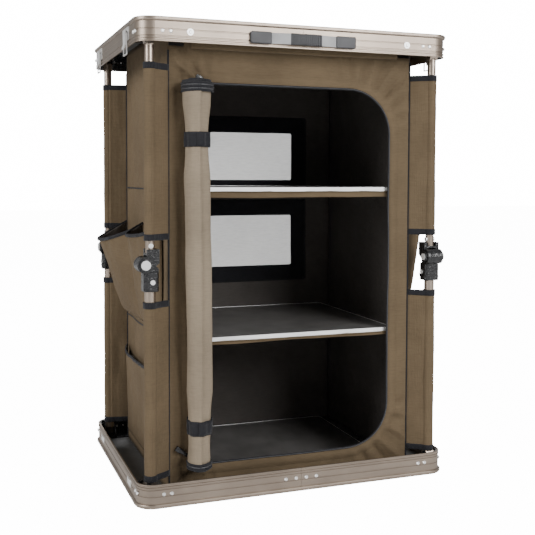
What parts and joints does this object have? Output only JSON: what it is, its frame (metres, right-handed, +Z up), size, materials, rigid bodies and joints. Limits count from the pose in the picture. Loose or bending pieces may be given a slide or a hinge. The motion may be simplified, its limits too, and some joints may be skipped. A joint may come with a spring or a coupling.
{
  "type": "folding_storage_unit",
  "caption": "folding camping storage cupboard with metal framed worktop and base, hinged corner legs and a hung fabric cabinet with shelves",
  "frame": {"origin": "centre of the base's underside, on the floor", "axes": "+Z up, open front toward -Y, +X to the right seen from the front"},
  "size_m": [0.6172, 0.4667, 0.845],
  "materials": {
    "rim_metal": "satin",
    "tube_metal": "satin",
    "bright_steel": "bright",
    "black_moulding": "matte",
    "grey_moulding": "satin",
    "strap_grip": "satin",
    "panel_board": "satin",
    "shelf_board": "satin",
    "edge_metal": "brushed",
    "canvas": "woven",
    "roll_canvas": "woven",
    "webbing": "woven",
    "mesh": "net"
  },
  "bodies": {
    "base": {"base_rim_left": "rim_metal", "base_rim_right": "rim_metal", "base_panel": "panel_board", "base_splices": "rim_metal", "base_rivets": "bright_steel", "base_brackets": "black_moulding", "latch_keepers": "bright_steel", "floor_board": "shelf_board", "floor_board_edge": "edge_metal", "fabric_cover": "canvas", "door_roll": "roll_canvas", "roll_straps": "webbing", "door_zip": "webbing", "mesh_windows": "mesh", "side_pockets": "canvas"},
    "top_tray": {"top_rim_left": "rim_metal", "top_rim_right": "rim_metal", "worktop_panel": "panel_board", "top_splices": "rim_metal", "top_rivets": "bright_steel", "top_brackets": "black_moulding", "handle_end_caps": "grey_moulding", "handle_strap": "strap_grip", "latch_plates": "bright_steel"},
    "lower_leg_front_left": {"lower_tube_front_left": "tube_metal", "knuckle_lower_front_left": "black_moulding", "knee_pin_front_left": "bright_steel"},
    "upper_leg_front_left": {"upper_tube_front_left": "tube_metal", "knuckle_upper_front_left": "black_moulding", "upper_rivet_front_left": "bright_steel"},
    "lower_leg_front_right": {"lower_tube_front_right": "tube_metal", "knuckle_lower_front_right": "black_moulding", "knee_pin_front_right": "bright_steel"},
    "upper_leg_front_right": {"upper_tube_front_right": "tube_metal", "knuckle_upper_front_right": "black_moulding", "upper_rivet_front_right": "bright_steel"},
    "lower_leg_back_right": {"lower_tube_back_right": "tube_metal", "knuckle_lower_back_right": "black_moulding", "knee_pin_back_right": "bright_steel"},
    "upper_leg_back_right": {"upper_tube_back_right": "tube_metal", "knuckle_upper_back_right": "black_moulding", "upper_rivet_back_right": "bright_steel"},
    "lower_leg_back_left": {"lower_tube_back_left": "tube_metal", "knuckle_lower_back_left": "black_moulding", "knee_pin_back_left": "bright_steel"},
    "upper_leg_back_left": {"upper_tube_back_left": "tube_metal", "knuckle_upper_back_left": "black_moulding", "upper_rivet_back_left": "bright_steel"},
    "shelf_lower": {"shelf_lower": "shelf_board", "shelf_lower_edge": "edge_metal"},
    "shelf_upper": {"shelf_upper": "shelf_board", "shelf_upper_edge": "edge_metal"},
    "latch_lever_front_left": {"latch_lever_front_left": "bright_steel"},
    "latch_bail_front_left": {"latch_bail_front_left": "bright_steel"},
    "latch_lever_front_right": {"latch_lever_front_right": "bright_steel"},
    "latch_bail_front_right": {"latch_bail_front_right": "bright_steel"},
    "latch_lever_back_right": {"latch_lever_back_right": "bright_steel"},
    "latch_bail_back_right": {"latch_bail_back_right": "bright_steel"},
    "latch_lever_back_left": {"latch_lever_back_left": "bright_steel"},
    "latch_bail_back_left": {"latch_bail_back_left": "bright_steel"}
  },
  "joints": [
    {"name": "fold", "type": "hinge", "parent": "base", "child": "lower_leg_front_left", "pos_m": [-0.286, -0.2025, 0.03], "axis": [0, 1, 0], "range_deg": [0, 88.22], "deforming": ["fabric_cover", "door_roll", "roll_straps", "door_zip", "mesh_windows", "side_pockets"]},
    {"name": "knee_front_left", "type": "hinge", "parent": "lower_leg_front_left", "child": "upper_leg_front_left", "pos_m": [-0.286, -0.2025, 0.4225], "axis": [0, 1, 0], "range_deg": [-176.45, 0]},
    {"name": "foot_front_right", "type": "hinge", "parent": "base", "child": "lower_leg_front_right", "pos_m": [0.275, -0.2165, 0.03], "axis": [-1, 0, 0], "range_deg": [0, 88.22]},
    {"name": "knee_front_right", "type": "hinge", "parent": "lower_leg_front_right", "child": "upper_leg_front_right", "pos_m": [0.275, -0.2165, 0.4225], "axis": [-1, 0, 0], "range_deg": [-176.45, 0]},
    {"name": "foot_back_right", "type": "hinge", "parent": "base", "child": "lower_leg_back_right", "pos_m": [0.286, 0.2025, 0.03], "axis": [0, -1, 0], "range_deg": [0, 88.22]},
    {"name": "knee_back_right", "type": "hinge", "parent": "lower_leg_back_right", "child": "upper_leg_back_right", "pos_m": [0.286, 0.2025, 0.4225], "axis": [0, -1, 0], "range_deg": [-176.45, 0]},
    {"name": "foot_back_left", "type": "hinge", "parent": "base", "child": "lower_leg_back_left", "pos_m": [-0.275, 0.2165, 0.03], "axis": [1, 0, 0], "range_deg": [0, 88.22]},
    {"name": "knee_back_left", "type": "hinge", "parent": "lower_leg_back_left", "child": "upper_leg_back_left", "pos_m": [-0.275, 0.2165, 0.4225], "axis": [1, 0, 0], "range_deg": [-176.45, 0]},
    {"name": "tray", "type": "hinge", "parent": "upper_leg_front_left", "child": "top_tray", "pos_m": [-0.286, -0.2025, 0.815], "axis": [0, 1, 0], "range_deg": [0, 88.23]},
    {"name": "shelf_lower_drop", "type": "slide", "parent": "base", "child": "shelf_lower", "axis": [0, 0, 1], "range_m": [-0.24631, 0]},
    {"name": "shelf_upper_drop", "type": "slide", "parent": "base", "child": "shelf_upper", "axis": [0, 0, 1], "range_m": [-0.49527, 0]},
    {"name": "lever_front_left", "type": "hinge", "parent": "top_tray", "child": "latch_lever_front_left", "pos_m": [-0.3042, -0.14, 0.831], "axis": [0, 1, 0], "range_deg": [0, 150]},
    {"name": "bail_front_left", "type": "hinge", "parent": "latch_lever_front_left", "child": "latch_bail_front_left", "pos_m": [-0.3042, -0.14, 0.823], "axis": [0, 1, 0], "range_deg": [0, 60]},
    {"name": "lever_front_right", "type": "hinge", "parent": "top_tray", "child": "latch_lever_front_right", "pos_m": [0.3042, -0.14, 0.831], "axis": [0, -1, 0], "range_deg": [0, 150]},
    {"name": "bail_front_right", "type": "hinge", "parent": "latch_lever_front_right", "child": "latch_bail_front_right", "pos_m": [0.3042, -0.14, 0.823], "axis": [0, -1, 0], "range_deg": [0, 60]},
    {"name": "lever_back_right", "type": "hinge", "parent": "top_tray", "child": "latch_lever_back_right", "pos_m": [0.3042, 0.14, 0.831], "axis": [0, -1, 0], "range_deg": [0, 150]},
    {"name": "bail_back_right", "type": "hinge", "parent": "latch_lever_back_right", "child": "latch_bail_back_right", "pos_m": [0.3042, 0.14, 0.823], "axis": [0, -1, 0], "range_deg": [0, 60]},
    {"name": "lever_back_left", "type": "hinge", "parent": "top_tray", "child": "latch_lever_back_left", "pos_m": [-0.3042, 0.14, 0.831], "axis": [0, 1, 0], "range_deg": [0, 150]},
    {"name": "bail_back_left", "type": "hinge", "parent": "latch_lever_back_left", "child": "latch_bail_back_left", "pos_m": [-0.3042, 0.14, 0.823], "axis": [0, 1, 0], "range_deg": [0, 60]}
  ],
  "couplings": [
    {"joint": "knee_front_left", "follows": "fold", "ratio": -2},
    {"joint": "foot_front_right", "follows": "fold", "ratio": 1},
    {"joint": "knee_front_right", "follows": "fold", "ratio": -2},
    {"joint": "foot_back_right", "follows": "fold", "ratio": 1},
    {"joint": "knee_back_right", "follows": "fold", "ratio": -2},
    {"joint": "foot_back_left", "follows": "fold", "ratio": 1},
    {"joint": "knee_back_left", "follows": "fold", "ratio": -2},
    {"joint": "tray", "follows": "fold", "ratio": 1},
    {"joint": "shelf_lower_drop", "follows": "fold", "m_per_rad": -0.15991},
    {"joint": "shelf_upper_drop", "follows": "fold", "m_per_rad": -0.3216}
  ]
}
